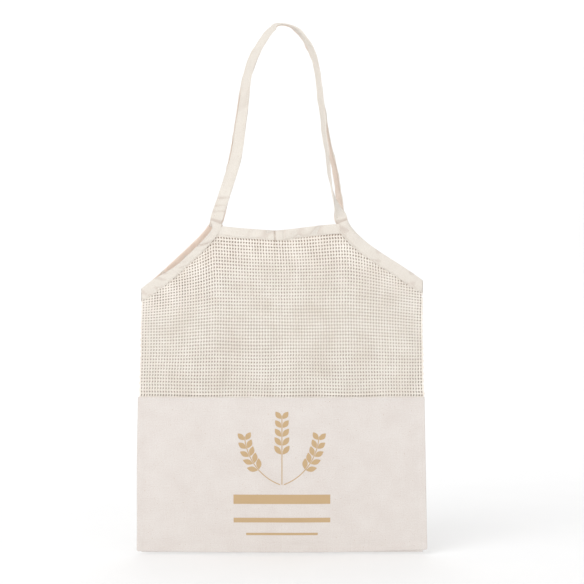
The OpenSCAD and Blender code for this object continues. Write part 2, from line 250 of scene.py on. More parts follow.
class Shell:
    """Gathers closed solids and sheets into one mesh.

    Every point carries its place along and across the weave, and a third number for painted shade: above zero
    where it faces the inside of the bag and takes a painted inside tint, below zero where it lies in a crease
    and takes painted crease shade.
    """

    def __init__(self):
        self.points, self.weave, self.faces, self.count = [], [], [], 0

    def add(self, points, weave, faces):
        self.points.append(points.reshape(-1, 3))
        weave = weave.reshape(-1, weave.shape[-1])
        self.weave.append(np.pad(weave, ((0, 0), (0, 3 - weave.shape[1]))))
        self.faces.extend(faces)
        self.count += len(self.points[-1])

    def tube(self, rings, weave, capped=True):
        """A closed tube through rings of points."""
        m, k = rings.shape[:2]
        i, j = np.arange(m - 1)[:, None], np.arange(k)[None, :]
        a, b = i * k + j, i * k + (j + 1) % k
        quads = np.stack([a, b, b + k, a + k], axis=-1).reshape(-1, 4)
        p = rings.reshape(-1, 3)
        centre = p.mean(0)
        c = p[quads] - centre
        volume = np.einsum("ij,ij->i", c[:, 0], np.cross(c[:, 1], c[:, 2]) + np.cross(c[:, 2], c[:, 3])).sum()
        faces = (quads + self.count).tolist()
        if capped:
            first = self.count + (m - 1) * k
            faces.append(list(range(self.count + k - 1, self.count - 1, -1)))
            faces.append(list(range(first, first + k)))
        if volume < 0:
            faces = [f[::-1] for f in faces]
        self.add(rings, weave, faces)

    def sheet(self, outer, inner, weave):
        """A closed sheet between two grids of points."""
        rows, cols = outer.shape[:2]
        n = rows * cols
        i, j = np.arange(rows - 1)[:, None], np.arange(cols - 1)[None, :]
        a = i * cols + j
        quads = np.stack([a, a + 1, a + cols + 1, a + cols], axis=-1).reshape(-1, 4)
        rim = np.concatenate([
            np.arange(cols), np.arange(2, rows + 1) * cols - 1,
            np.arange(n - 2, n - cols - 1, -1), np.arange(rows - 2, 0, -1) * cols,
        ])
        after = np.roll(rim, -1)
        sides = np.stack([after, rim, rim + n, after + n], axis=-1)
        faces = np.concatenate([quads, quads[:, ::-1] + n, sides]) + self.count
        middle = outer[rows // 2, cols // 2] - inner[rows // 2, cols // 2]
        right = outer[rows // 2, cols // 2 + 1] - outer[rows // 2, cols // 2]
        down = outer[rows // 2 + 1, cols // 2] - outer[rows // 2, cols // 2]
        if np.dot(middle, np.cross(right, down)) < 0:
            faces = faces[:, ::-1]
        both = np.concatenate([outer.reshape(-1, 3), inner.reshape(-1, 3)])
        self.add(both, np.concatenate([weave.reshape(-1, weave.shape[-1])] * 2), faces.tolist())

    def piece(self, name, material, soft=True):
        """The finished object, in metres."""
        mesh = bpy.data.meshes.new(name)
        mesh.from_pydata((np.concatenate(self.points) * MM).tolist(), [], self.faces)
        weave = np.concatenate(self.weave).astype(np.float32)
        mesh.attributes.new("weave", "FLOAT_VECTOR", "POINT").data.foreach_set("vector", weave.ravel())
        mesh.polygons.foreach_set("use_smooth", np.full(len(mesh.polygons), soft))
        mesh.materials.append(material)
        mesh.update()
        made = bpy.data.objects.new(name, mesh)
        bpy.context.scene.collection.objects.link(made)
        return made


def circle(k):
    angle = np.arange(k) / k * 2 * math.pi
    return np.cos(angle), np.sin(angle)


def cord_rings(path, radius, k):
    """Round rings along a path of points."""
    path = np.asarray(path, float)
    way = np.gradient(path, axis=0)
    way /= np.maximum(np.linalg.norm(way, axis=1, keepdims=True), 1e-9)
    up = np.where(np.abs(way[:, 1:2]) > 0.8, [[0.0, 0.0, 1.0]], [[0.0, 1.0, 0.0]])
    side = np.cross(way, up)
    side /= np.linalg.norm(side, axis=1, keepdims=True)
    top = np.cross(side, way)
    c, s = circle(k)
    radius = np.broadcast_to(radius, (len(path),))[:, None, None]
    return path[:, None] + radius * (c[None, :, None] * side[:, None] + s[None, :, None] * top[:, None])


def along_of(path):
    """Length along a path of points, at each point."""
    return np.concatenate([[0], np.cumsum(np.linalg.norm(np.diff(path, axis=0), axis=1))])


def thread(shell, path, radius, k=5):
    """A round thread along a path of points."""
    weave = np.broadcast_arrays(along_of(path)[:, None], np.arange(k)[None, :] / k)
    shell.tube(cord_rings(path, radius, k), np.stack(weave, axis=-1))


# ---------------- materials

class Nodes:
    """Short ways to make shader nodes."""

    def __init__(self, name):
        self.material = bpy.data.materials.new(name)
        self.material.use_nodes = True
        self.tree = self.material.node_tree
        self.shader = self.tree.nodes["Principled BSDF"]

    def add(self, kind, **settings):
        node = self.tree.nodes.new("ShaderNode" + kind)
        for key, value in settings.items():
            setattr(node, key, value)
        return node

    def put(self, socket, value):
        if isinstance(value, bpy.types.NodeSocket):
            self.tree.links.new(value, socket)
        else:
            socket.default_value = value

    def woven(self):
        """Each point's weave, and its three numbers apart: along, across and the amount of painted shade."""
        weave = self.add("Attribute", attribute_name="weave").outputs["Vector"]
        split = self.add("SeparateXYZ")
        self.put(split.inputs[0], weave)
        return weave, *split.outputs

    def math(self, operation, a, b=0.0, c=0.0, clamp=False):
        node = self.add("Math", operation=operation, use_clamp=clamp)
        for socket, value in zip(node.inputs, (a, b, c)):
            self.put(socket, value)
        return node.outputs[0]

    def ramp(self, value, low, high, to_low=0.0, to_high=1.0):
        node = self.add("MapRange")
        for socket, part in zip(node.inputs, (value, low, high, to_low, to_high)):
            self.put(socket, part)
        return node.outputs[0]

    def mix(self, factor, a, b):
        node = self.add("Mix", data_type="RGBA")
        self.put(node.inputs["Factor"], factor)
        self.put(node.inputs[6], a)
        self.put(node.inputs[7], b)
        return node.outputs[2]

    def noise(self, vector, scale, detail=2.0, stretch=None):
        if stretch:
            mapping = self.add("Mapping")
            self.put(mapping.inputs["Vector"], vector)
            mapping.inputs["Scale"].default_value = stretch
            vector = mapping.outputs[0]
        node = self.add("TexNoise")
        self.put(node.inputs["Vector"], vector)
        node.inputs["Scale"].default_value = scale
        node.inputs["Detail"].default_value = detail
        return node.outputs[0]

    def finish(self, colour, rough, height, distance, strength=0.6, sheen=0.12):
        """Joins colour, roughness and bump to the shader."""
        bumped = self.add("Bump")
        bumped.inputs["Distance"].default_value = distance
        bumped.inputs["Strength"].default_value = strength
        self.put(bumped.inputs["Height"], height)
        self.put(self.shader.inputs["Normal"], bumped.outputs[0])
        self.put(self.shader.inputs["Base Color"], colour)
        self.put(self.shader.inputs["Roughness"], rough)
        self.shader.inputs["Sheen Weight"].default_value = sheen
        self.shader.inputs["Sheen Roughness"].default_value = 0.6
        self.shader.inputs["Specular IOR Level"].default_value = 0.25
        return self.material


def linear(r, g, b):
    """A colour given as 0 to 255 in sRGB."""
    return tuple(((c / 255 + 0.055) / 1.055) ** 2.4 for c in (r, g, b)) + (1.0,)


def darker(colour, share):
    return tuple(c * share for c in colour[:3]) + (1.0,)


# Painted crease shade: the colour that creases, folds and tucked-in ends are darkened towards, in place of
# the shade that falls in them
CREASE_SHADE = linear(180, 158, 144)
DEEPEST_SHADE = 0.63          # the darkest share of painted crease shade


def crease_shade(relief, strength):
    """Painted crease shade for this relief, as the third weave number: darker where the relief dips."""
    return -np.clip(-relief * strength, 0, DEEPEST_SHADE)


def calico(name, light, shade, pitch=0.45, print_tint=None, inner=None):
    """Plain woven cotton: warp and weft at their real pitch, slubs, seed flecks, soft mottling, and painted
    shade on inside faces and in creases.
    """
    n = Nodes(name)
    weave, along, across, painted_shade = n.woven()
    wobble = n.noise(weave, 0.35)
    turn = 2 * math.pi / pitch
    sway = n.math("MULTIPLY", wobble, 5.0)
    warp = n.math("SINE", n.math("MULTIPLY_ADD", along, turn, sway))
    weft = n.math("SINE", n.math("MULTIPLY_ADD", across, turn, sway))
    cross = n.math("MULTIPLY", warp, weft)
    slub_warp = n.noise(weave, 1.0, 3.0, (1.6, 0.05, 1.0))
    slub_weft = n.noise(weave, 1.0, 3.0, (0.05, 1.6, 1.0))
    slubs = n.math("MULTIPLY", n.math("ADD", slub_warp, slub_weft), 0.5)
    mottle = n.noise(weave, 0.035, 4.0)
    grain = n.math("MULTIPLY", n.noise(weave, 0.7, 4.0), 0.5)
    blotch = n.math("ADD", n.math("MULTIPLY", mottle, 0.3), n.math("MULTIPLY", slubs, 0.4))
    blotch = n.ramp(n.math("ADD", blotch, grain), 0.48, 0.71)
    colour = n.mix(blotch, shade, light)
    thread_shade = n.ramp(cross, -1.0, 1.0, 0.0, 0.10)
    colour = n.mix(thread_shade, colour, darker(shade, 0.8))
    fleck = n.ramp(n.noise(weave, 0.55, 1.0), 0.715, 0.75)
    colour = n.mix(n.math("MULTIPLY", fleck, 0.45), colour, linear(176, 142, 104))
    # Painted shade: faces that look into the bag take the inner colour, a shaded warm tint
    if inner:
        colour = n.mix(n.math("MULTIPLY", painted_shade, 1.0, clamp=True), colour, inner)
    # Painted crease shade: creases darken towards the crease shade colour
    crease_shading = n.math("MULTIPLY", painted_shade, -1.0, clamp=True)
    colour = n.mix(crease_shading, colour, CREASE_SHADE)
    if print_tint:
        uneven = n.math("ADD", n.math("MULTIPLY", cross, 0.12), n.noise(weave, 1.4, 3.0))
        cover = n.ramp(uneven, 0.2, 0.5, 0.72, 1.0)
        colour = n.mix(cover, colour, print_tint)
    fuzz = n.noise(weave, 4.0, 3.0)
    lumps = n.math("ADD", fuzz, n.math("MULTIPLY", slubs, 1.6))
    height = n.math("ADD", n.math("MULTIPLY", cross, 0.5), lumps)
    rough = n.ramp(n.math("ADD", fuzz, n.math("MULTIPLY", cross, 0.15)), 0.2, 0.9, 0.78, 0.96)
    return n.finish(colour, rough, height, 0.00016)


def yarn(name, light, shade, twist=1.3, distance=0.00018, inner=None):
    """Twisted cotton yarn: plies that wind round the strand, fluff, uneven colour, and painted shade on faces
    that look into the bag.
    """
    n = Nodes(name)
    _, along, across, painted_shade = n.woven()
    round_it = n.math("MULTIPLY", across, 2.0)
    turns = n.math("ADD", n.math("DIVIDE", along, twist), round_it)
    ply = n.math("SINE", n.math("MULTIPLY", turns, 2 * math.pi))
    place = n.add("TexCoord").outputs["Object"]
    fluff = n.noise(place, 2400.0, 3.0)
    mottle = n.noise(place, 38.0, 3.0)
    fine = n.noise(place, 420.0, 2.0)
    blotch = n.ramp(n.math("ADD", n.math("MULTIPLY", mottle, 0.6), n.math("MULTIPLY", fine, 0.4)), 0.36, 0.62)
    colour = n.mix(blotch, shade, light)
    colour = n.mix(n.ramp(ply, -1.0, 1.0, 0.16, 0.0), colour, darker(shade, 0.72))
    # Painted shade: strand sides that face the inside of the bag take the inner colour
    if inner:
        colour = n.mix(painted_shade, colour, inner)
    height = n.math("ADD", n.math("MULTIPLY", ply, 0.5), fluff)
    rough = n.ramp(n.math("ADD", fluff, n.math("MULTIPLY", ply, 0.1)), 0.2, 0.9, 0.80, 0.97)
    return n.finish(colour, rough, height, distance, sheen=0.15)


CALICO = calico("calico", linear(230, 224, 219), linear(220, 211, 205))
# The tape's inner colour is painted shade: a warm pinkish tint for faces that look into the bag, in place of
# shade and bounce light
TAPE = calico("tape", linear(235, 229, 220), linear(224, 216, 206), pitch=0.42, inner=linear(239, 219, 204))
# The net's inner colour is painted shade: a darker tone for strand sides that face the inside of the bag
NET = yarn("net", linear(251, 245, 236), linear(241, 232, 221), inner=linear(196, 179, 166))
THREAD = yarn("thread", linear(244, 240, 231), linear(228, 219, 207), twist=0.7, distance=0.00006)
INK = calico("ink", linear(214, 190, 156), linear(204, 178, 142), print_tint=linear(199, 170, 131))


# ---------------- the net

COLUMN = 3.6            # pitch of the net's wales
ROW = 4.33              # pitch of its courses
NET_HEIGHT = 300        # cloth drawn above the waist, before it is cut to the panel
WALES = 53              # columns in one half of a panel
RINGS_A_PITCH = 3       # points along a strand for each mesh
CREASE_DROP = {-1: 0.75, 1: 0.0}    # extra slope of the rows just outside a strap root
SLOPE = {-1: 0.35, 1: 0.38}         # slope of the rows from there to the side
RUN_SOFTNESS = {-1: 3.0, 1: 14.0}   # how softly that slope starts
STRAND_ACROSS = np.array([1, 0.64, -0.64, -1, -0.64, 0.64])
STRAND_UP = np.array([0, 1, 1, 0, -1, -1])


def hang(x, v, front):
    """Where a point of the cloth hangs: its rows sag between the strap roots and beside them.

    The back net is drawn a little wider, so that its strands cross the front net's meshes when both are
    seen from where the camera stands.
    """
    share = np.clip(v / (Z_ROOT - Z_WAIST), 0, 1.3)
    between = -7.0 * share ** 2 * (1 - np.clip(np.abs(x) / X_ROOT, 0, 1) ** 1.5)
    drop = np.zeros(np.broadcast(x, v).shape)
    for hand in (-1, 1):
        past = x * hand - X_ROOT + 1
        run = (past + np.sqrt(past ** 2 + RUN_SOFTNESS[hand] ** 2)) / 2
        near = 20 * (1 - np.exp(-run / 20))
        drop = drop + CREASE_DROP[hand] * share ** 3 * near + SLOPE[hand] * share ** 2 * run
    z = Z_WAIST + v + between - drop
    drift = 0.5 * np.sin(v / 31 + x / 70) + 0.45 * waves(x, v, 21, 42, 4)
    rise = 0.5 * waves(x, v, 23, 36, 4)
    if not front:
        drift = drift + 0.35 * waves(x, v, 22, 60, 4)
        rise = rise + 0.35 * waves(x, v, 24, 60, 4)
    x = x * side_x(z) / side_x(Z_WAIST) + drift
    z = z + rise
    if not front:
        eye = CAMERA / MM
        wider = 1 - 2 * depth(x, z) / eye.y
        x = eye.x + (x - eye.x) * wider
        z = eye.z + (z - eye.z) * wider
    return x, z


def inside(x, z, front):
    """True where the net is, up to the folds of its bindings and its side seams."""
    right = armhole_x(z, 1.6, front, 1)
    left = armhole_x(z, 1.6, front, -1)
    return (x < right) & (x > -left) & (z < mouth_z(x, front) - 0.6)


def runs(kept):
    """The stretches of True in a row, as slices of 3 or more."""
    marks = np.flatnonzero(np.diff(np.concatenate([[0], kept.astype(int), [0]])))
    return [slice(a, b) for a, b in zip(marks[::2], marks[1::2]) if b - a >= 3]


def tucked(z):
    """The net goes behind the calico at the waist."""
    return -1.25 * (1 - smooth((z - Z_WAIST - 0.4) / 2.4))


def strand(shell, centre, fat, thick, axis, along, front):
    """A flat yarn along a line of points, wide across the given axis."""
    rings = np.repeat(centre[:, None], 6, axis=1)
    rings[:, :, axis] += fat[:, None] * STRAND_ACROSS
    rings[:, :, 1] += thick * STRAND_UP
    # Painted shade: the strand's side that faces the inside of the bag takes the net's inner colour, and its
    # edges a little of it
    inner = np.clip(0.3 + 0.75 * STRAND_UP * (1 if front else -1), 0, 1)
    weave = np.stack(np.broadcast_arrays(along[:, None], np.arange(6)[None, :] / 6, inner), axis=-1)
    shell.tube(rings, weave)


def knit(shell, front, hand, columns, keep, place):
    """Wales, which are chains of slanting loops, and the courses laid through them, wherever keep is true."""
    start = -4.0
    v = start + np.arange(int(NET_HEIGHT / ROW * RINGS_A_PITCH)) * ROW / RINGS_A_PITCH
    phase = (v - start) / ROW
    swing = 0.48 * (np.abs((phase % 2) - 1) * 2 - 1)
    offset = 0.5 if front else 1.0 * (hand < 0)     # the back net lies half a mesh across
    lower = 0.0 if front else ROW / 2
    for i in columns:
        u = hand * (i + offset) * COLUMN
        x, z = hang(np.full(v.shape, u) + swing, v + lower, front)
        fat = 1.10 + 0.14 * np.cos(phase * 2 * math.pi) + 0.10 * waves(x, z, 31, 9, 3)
        fat = fat + RANDOM.normal(0, 0.04)
        for part in runs(keep(x, z, front)):
            zs = z[part]
            strand(shell, place(x[part], zs, 0.10 + tucked(zs), front), fat[part], 0.5, 0, zs, front)
    u = hand * np.arange(columns[0] * RINGS_A_PITCH, (WALES - 1) * RINGS_A_PITCH + 1) * COLUMN / RINGS_A_PITCH
    for j in range(int(NET_HEIGHT / ROW)):
        x, z = hang(u, np.full(u.shape, start + j * ROW + lower), front)
        fat = 1.22 + 0.12 * np.cos(u / COLUMN * 2 * math.pi + math.pi) + 0.11 * waves(x, z, 32, 11, 3)
        for part in runs(keep(x, z, front)):
            xs, zs = x[part], z[part]
            strand(shell, place(xs, zs, -0.12 + tucked(zs), front), fat[part], 0.42, 2, xs, front)


def net_half(name, front, hand):
    """One half of a net panel."""
    shell = Shell()
    knit(shell, front, hand, range(WALES), inside, on_cloth)
    return shell.piece(name, NET)


# ---------------- calico panels

CURL = 1.25             # radius over which a calico edge turns in to its seam
CALICO_T = 0.55
CORNER = 2.6            # radius of the bottom corners
CORNER_LIFT = {-1: 1.6, 1: 3.4}     # how far each bottom corner hangs above the middle of the hem
LEFT_PULL = 1.9         # how far the left side is pulled in at the waist
EDGE_STEPS = np.array([0.0, 0.12, 0.4, 0.8, 1.25, 2.0])


def curl(distance, radius):
    """How far the cloth has turned inwards at a distance from its folded edge."""
    left = np.clip(radius - distance, 0, radius)
    return radius - np.sqrt(np.maximum(radius ** 2 - left ** 2, 0))


def canvas_point(x, z, front, layer):
    """A point of a calico panel, with its edges turned in and its seams puckered."""
    rounding = curl(z - Z_HEM, CORNER)
    limit = side_x(z) - rounding
    x = x * limit / side_x(z)
    side, hem, top = limit - np.abs(x), z - Z_HEM, Z_WAIST - z
    rise = hem / (Z_WAIST - Z_HEM)
    share = x / X_HEM
    z = z + np.where(share > 0, CORNER_LIFT[1], CORNER_LIFT[-1]) * share ** 2 * (1 - rise)
    x = x - LEFT_PULL * smooth(-share) * smooth(rise * 1.4)
    turned = np.maximum(curl(side, CURL), curl(hem, CURL))
    turned = np.maximum(turned, curl(top, 0.8) * 1.1)
    seed = 51 if front else 52
    pucker = 0.20 * waves(z * 3, 0, seed, 22) * np.exp(-side / 7)
    pucker = pucker + 0.26 * waves(x * 3, 0, seed + 2, 26) * np.exp(-hem / 8)
    pucker = pucker + 0.16 * waves(x * 3, 0, seed + 4, 20) * np.exp(-top / 6)
    valley = 0.45 * bump(hem, 10.5, 1.6) + 0.35 * bump(side, 10.5, 1.8) + 0.35 * bump(top, 11, 2.0)
    return on_cloth(x, z, pucker - valley - turned + layer, front)


def canvas_panel(name, front):
    shell = Shell()
    inner_x = np.linspace(0, 1, 150)[1:-1]
    edge = EDGE_STEPS / X_HEM / 2
    share = np.concatenate([edge, inner_x[(inner_x > edge[-1]) & (inner_x < 1 - edge[-1])], 1 - edge[::-1]])
    rows = np.arange(Z_HEM + 3, Z_WAIST - 2.5, 2.3)
    z = np.concatenate([Z_HEM + EDGE_STEPS, rows, Z_WAIST - 0.15 - EDGE_STEPS[::-1]])
    zz, ss = np.meshgrid(z, share * 2 - 1, indexing="ij")
    xx = ss * side_x(zz)
    outer = canvas_point(xx, zz, front, CALICO_T / 2)
    inner = canvas_point(xx * (1 - 0.3 / X_HEM), zz, front, -CALICO_T / 2)
    shell.sheet(outer, inner, np.stack([xx, zz], axis=-1))
    return shell.piece(name, CALICO)


# ---------------- bindings

def channel(width, slot=0.62, ply=0.6):
    """A folded tape's section, as distances in from its fold and heights, and which points are outside."""
    out = slot + ply
    flat = np.concatenate([np.linspace(width, width - 4.0, 9), np.linspace(width - 4.5, out, 7)])
    turn = np.linspace(math.pi / 2, -math.pi / 2, 9)[1:-1]
    lip = width + 0.12
    front = [(w, out) for w in flat]
    fold = [(out - out * math.cos(a), out * math.sin(a)) for a in turn]
    back = [(w, -out) for w in flat[::-1]]
    inner = [(ply, slot), (width, slot), (lip, slot + ply / 2)]
    inner = [(w, -n) for w, n in inner[::-1]] + inner
    section = np.array(front + fold + back + inner)
    outside = np.array([1.0] * (len(front) + len(fold) + len(back)) + [0.0] * len(inner))
    return section[:, 0], section[:, 1], outside


def tape_relief(along, w, width, seed, row):
    """Relief of a sewn tape: a pressed stitch line, a proud edge and soft creases across it."""
    groove = -0.34 * bump(w, width - row, 0.6)
    edge = 0.22 * bump(w, width - 0.4, 0.6)
    puff = 0.12 * np.sin(np.clip(w / (width - row), 0, 1) * math.pi)
    slant = waves(along + 0.9 * w, w * 0.35, seed, 6.0, 6)
    broad = waves(along, w, seed + 1, 14)
    return groove + edge + puff + 0.62 * slant * np.abs(slant) ** 0.5 + 0.4 * broad


MOUTH_ROW = 1.6         # distance of the stitches from the binding's lower edge
MOUTH_STITCH_N = 1.22   # their height over the middle of the net


def mouth_relief(x, w, front):
    return tape_relief(x, w, MOUTH_TAPE, 61 if front else 66, MOUTH_ROW)


def mouth_binding(name, front):
    shell = Shell()
    w, n, outside = channel(MOUTH_TAPE)
    share = np.linspace(-1, 1, 330)[:, None]
    x = share * (X_ROOT - TAPE_W + 4 + 0.48 * w)
    relief = mouth_relief(x, w, front) * outside
    points = on_cloth(x, mouth_z(x, front) + 1.0 - w, n + np.sign(n) * relief, front)
    # Painted crease shade in the tape's creases and stitch groove
    shade = crease_shade(relief, 0.53)
    if front:
        # Painted shade along the two creases of the pleat
        shade = shade - 0.35 * bump(x, PLEAT_LEFT, 0.8) - 0.18 * bump(x, PLEAT_RIGHT, 0.9)
    else:
        # Painted shade over the whole inner face of the back binding, which looks into the bag
        shade = np.where(n < 0, -0.95, shade)
    shell.tube(points, np.stack(np.broadcast_arrays(x, w, shade), axis=-1))
    return shell.piece(name, TAPE)


ARMHOLE_ROW = 1.7
T_STEPS = 84            # rings on each side of the bag


def lifted(t):
    """The armhole tape passes over the end of the mouth binding."""
    return 1.15 * (1 - smooth((t - 0.24) / 0.2)) * smooth(t / 0.07 + 0.25)


def armhole_ring(w, n, hand, side, place):
    """One ring round an armhole tape; side is True in front, False behind and None in the turn between."""
    if side is None:
        x = X_SHOULDER - 0.6 + 0.35 * (SEAM_HALF + n) * np.sin(place)
        z = Z_SHOULDER + SHOULDER_RISE[hand] - w
        return np.stack([hand * x, -(SEAM_HALF + n) * np.cos(place), z], axis=-1)
    point = armhole_at(np.full(w.shape, place), w, side, hand)
    height = n + np.sign(n) * lifted(place) * (w > 0.8)
    return on_cloth(hand * point[:, 0], point[:, 1], height, side)


def armhole_route():
    """The rings' places, from the front root round the side seam to the back root."""
    t = np.linspace(0, 1, T_STEPS)
    turn = np.linspace(0, math.pi, 9)[1:-1]
    return [(True, a) for a in t] + [(None, a) for a in turn] + [(False, a) for a in t[::-1]]


def armhole_length(hand):
    """Length along an armhole tape at each of its rings."""
    w, n, _ = channel(TAPE_W)
    rings = [armhole_ring(w, n, hand, side, place) for side, place in armhole_route()]
    return along_of(np.array(rings).mean(axis=1))


def armhole_relief(along, w, hand):
    return tape_relief(along, w, TAPE_W, 71 if hand > 0 else 75, ARMHOLE_ROW)


def armhole_binding(name, hand):
    shell = Shell()
    w, n, outside = channel(TAPE_W)
    route, along = armhole_route(), armhole_length(hand)
    rings, shades = [], []
    for (side, place), run in zip(route, along):
        relief = armhole_relief(run, w, hand) * outside
        # Painted crease shade along the tape's creases and stitch groove, weaker near the left front root,
        # and a painted shade line across the tape's end where the strap root tucks in
        fade = 1.0 if side is None or hand > 0 else 0.25 + 0.75 * smooth((place - 0.1) / 0.15)
        root = 0.0 if side is None else 0.35 * bump(place, 0, 0.012)
        shades.append(crease_shade(relief, 0.53) * fade - root * outside)
        rings.append(armhole_ring(w, n + np.sign(n) * relief, hand, side, place))
    shade = np.array(shades)
    back_run = (np.arange(len(route)) > len(route) - T_STEPS)[:, None]
    # The back run's inner face takes the painted inside tint, except where painted crease shade is darker
    inner = np.where(shade < -0.15, shade, back_run * np.clip(-n, 0, 1))
    shell.tube(np.array(rings), np.stack(np.broadcast_arrays(along[:, None], w[None, :], inner), axis=-1))
    return shell.piece(name, TAPE)


# ---------------- handles

CROWN = [(0, 0.8), (22.1, 0.8), (40.9, -27.75), (47, -75)]
LEG = [(47, -75), (52, -115), (X_STRAP - 17, Z_ROOT + 58), (X_STRAP, Z_ROOT)]
CROWN_SHARE = 0.34
ROOT_RUN = 1.045        # the strap runs on this far, tucked into the armhole tape
ROOT_NARROW = 0.12      # how much narrower it is there
ROOT_THIN = 0.72        # how thick it is there, as a share
# Turn of the tape about its own length, in degrees, at shares of the way from crown to root
TURNS = {
    ("front", -1): ([0, 0.03, 0.07, 0.14, 0.25, 0.4, 0.65, 0.88, 1.0], [81, 77, 66, 51, 48, 45, 30, 21, 4]),
    ("front", 1): (
        [0, 0.05, 0.1, 0.2, 0.45, 0.65, 0.8, 0.9, 0.95, 1.0],
        [81, 84, 98, 112, 115, 106, 100, 80, 55, 4],
    ),
    ("back", -1): ([0, 0.2, 0.5, 0.8, 0.93, 1.0], [99, 76, 66, 50, 25, 4]),
    ("back", 1): ([0, 0.2, 0.5, 0.85, 0.95, 1.0], [99, 76, 70, 68, 50, 4]),
}
# Soft bows of each hanging leg away from the CAD's line: height below the hook, half length, size outwards
BOWS = {
    ("front", -1): ((-175, 45, -4.2), (-105, 30, -1.2), (-15, 45, -6.0)),
    ("front", 1): ((-205, 35, -3.2), (-142, 16, -2.2), (-45, 22, 1.5)),
    ("back", -1): ((-105, 50, 3.6), (-6, 20, -5.5)),
    ("back", 1): ((-198, 45, 6.4), (-110, 35, 1.5), (-45, 20, 1.5)),
}
BOW_END = 7.0           # the bows fade out over this height at the hook


def bow(z, loop, hand):
    """How far a leg bows outwards at a height; nothing at the hook or the strap root."""
    out = sum(size * bump(z, height, half) for height, half, size in BOWS[loop, hand])
    return out * smooth((z - Z_ROOT) / 25) * (1 - smooth((z + BOW_END - 1) / BOW_END))


def half_loop(s, loop, hand):
    """The handle's middle line on one side, as x to the outside and z."""
    s = np.asarray(s, float)
    crown = bezier(CROWN, np.clip(s / CROWN_SHARE, 0, 1))
    leg = bezier(LEG, np.clip((s - CROWN_SHARE) / (1 - CROWN_SHARE), 0, 1))
    root = np.array([2.9, -9.6]) / 0.04
    point = np.where((s < CROWN_SHARE)[..., None], crown, leg) + np.maximum(s - 1, 0)[..., None] * root
    point[..., 0] += bow(point[..., 1], loop, hand)
    return point


def strap_frame(u, loop):
    """Centre, direction across and direction out of the face, for each place along a handle."""
    u = np.asarray(u, float)

    def line(q):
        left = half_loop(np.abs(q), loop, -1) * [-1, 1]
        return np.where((q < 0)[:, None], left, half_loop(np.abs(q), loop, 1))

    centre = line(u)
    way = line(u + 0.004) - line(u - 0.004)
    way /= np.linalg.norm(way, axis=1, keepdims=True)
    out = np.stack([-way[:, 1], way[:, 0]], axis=-1)
    left, right = (np.interp(np.abs(u), *TURNS[loop, hand]) for hand in (-1, 1))
    kernel = np.hanning(15)
    padded = np.pad(np.where(u < 0, left, right), 7, mode="edge")
    turn = np.radians(np.convolve(padded, kernel / kernel.sum(), mode="valid"))
    root_y = depth(np.array([X_STRAP]), np.array([Z_ROOT]))[0]
    flip = 1.0 if loop == "front" else -1.0
    y = -flip * lerp(Y_CROWN, root_y, np.clip(np.abs(u), 0, 1))
    rest = (0.0 if loop == "front" else 1.3) * np.exp(-(u / 0.15) ** 2)
    place = np.stack([centre[:, 0] + lean(centre[:, 1]), y, centre[:, 1] + rest], axis=-1)
    across = np.stack([out[:, 0] * np.cos(turn), np.sin(turn) * flip, out[:, 1] * np.cos(turn)], axis=-1)
    face = np.stack([out[:, 0] * np.sin(turn), -np.cos(turn) * flip, out[:, 1] * np.sin(turn)], axis=-1)
    return place, across, face


def strap_section():
    """A flat tape's section with rounded edges: place across, height."""
    half, n = TAPE_W / 2, STRAP_HALF
    edge = np.linspace(half - 1.0, half - 4.0, 7)
    w = np.concatenate([[half - 0.5], edge, np.linspace(half - 5, -half + 5, 7), -edge[::-1], [-half + 0.5]])
    top = [(x, n) for x in w]
    left = [(-half + 0.12, n * 0.7), (-half, 0.0), (-half + 0.12, -n * 0.7)]
    bottom = [(x, -n) for x in w[::-1]]
    right = [(half - 0.12, -n * 0.7), (half, 0.0), (half - 0.12, n * 0.7)]
    return np.array(top + left + bottom + right).T


STRAP_ROW = 2.4         # distance of each stitch row from the strap's edge
ROOT_CREASES = ((13.5, 1.3), (21.5, 1.3), (29.5, 1.0), (40.0, 0.7))    # distance from the root, depth


def strap_relief(along, w, loop):
    """Relief of a handle's face: two stitch lines, a soft middle and creases across it."""
    groove = -0.22 * (bump(np.abs(w), TAPE_W / 2 - STRAP_ROW, 0.5))
    puff = 0.10 * np.cos(np.clip(w / 5, -1, 1) * math.pi / 2)
    return groove + puff + 0.42 * waves(along + 0.5 * w, w * 0.4, 81 if loop == "front" else 84, 6, 6)


def loose(u):
    """1 along the free strap, and 0 at its roots."""
    return 1 - smooth((np.abs(u) - 0.95) / 0.05)


def strap_bend(along, w, loop, free):
    """Creases that fold the whole thickness, at the strap roots."""
    out = 0.32 * waves(along, w * 0.5, 83 if loop == "front" else 85, 26)
    if loop == "front":
        for from_root, size in ROOT_CREASES:
            out = out - size * bump(along + 0.35 * w, from_root, 1.7)
    return out * (0.25 + 0.75 * free) * free


